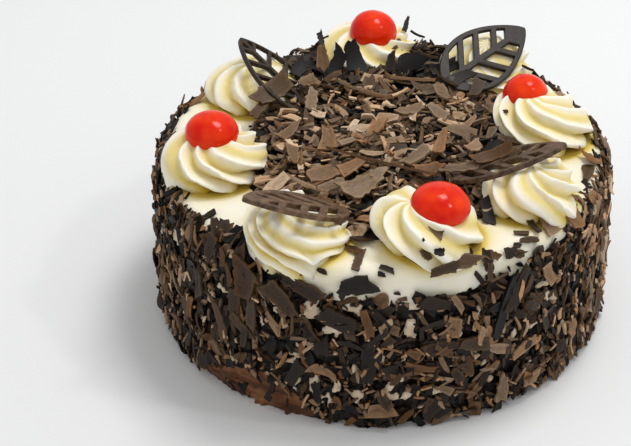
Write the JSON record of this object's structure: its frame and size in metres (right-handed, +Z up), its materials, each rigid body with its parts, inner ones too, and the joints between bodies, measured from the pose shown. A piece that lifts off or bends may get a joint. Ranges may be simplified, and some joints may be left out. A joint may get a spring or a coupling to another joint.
{
  "type": "black forest cake",
  "caption": "Round cream cake with chocolate shavings round its side and heaped on top, ringed by piped cream rosettes that carry cherries and openwork chocolate leaves in turn.",
  "frame": {"origin": "centre of the underside, where the cake rests on its plate", "axes": "+Z up; -Y is the front that the two low rosettes face, +X to its right"},
  "size_m": [0.2, 0.2, 0.1026],
  "materials": {
    "whipped_cream": "soft ivory whipped cream with a faint sheen",
    "dark_chocolate": "dark couverture, dull where it was shaved",
    "glace_cherry": "wet, glossy red glace cherry"
  },
  "bodies": {
    "root": {"cake": "whipped_cream", "side_shavings": "dark_chocolate", "top_shavings": "dark_chocolate", "rosette_1": "whipped_cream", "rosette_2": "whipped_cream", "rosette_3": "whipped_cream", "rosette_4": "whipped_cream", "rosette_5": "whipped_cream", "rosette_6": "whipped_cream", "rosette_7": "whipped_cream", "rosette_8": "whipped_cream", "cherry_1": "glace_cherry", "cherry_3": "glace_cherry", "cherry_5": "glace_cherry", "cherry_7": "glace_cherry", "leaf_2": "dark_chocolate", "leaf_4": "dark_chocolate", "leaf_6": "dark_chocolate", "leaf_8": "dark_chocolate"}
  },
  "joints": []
}
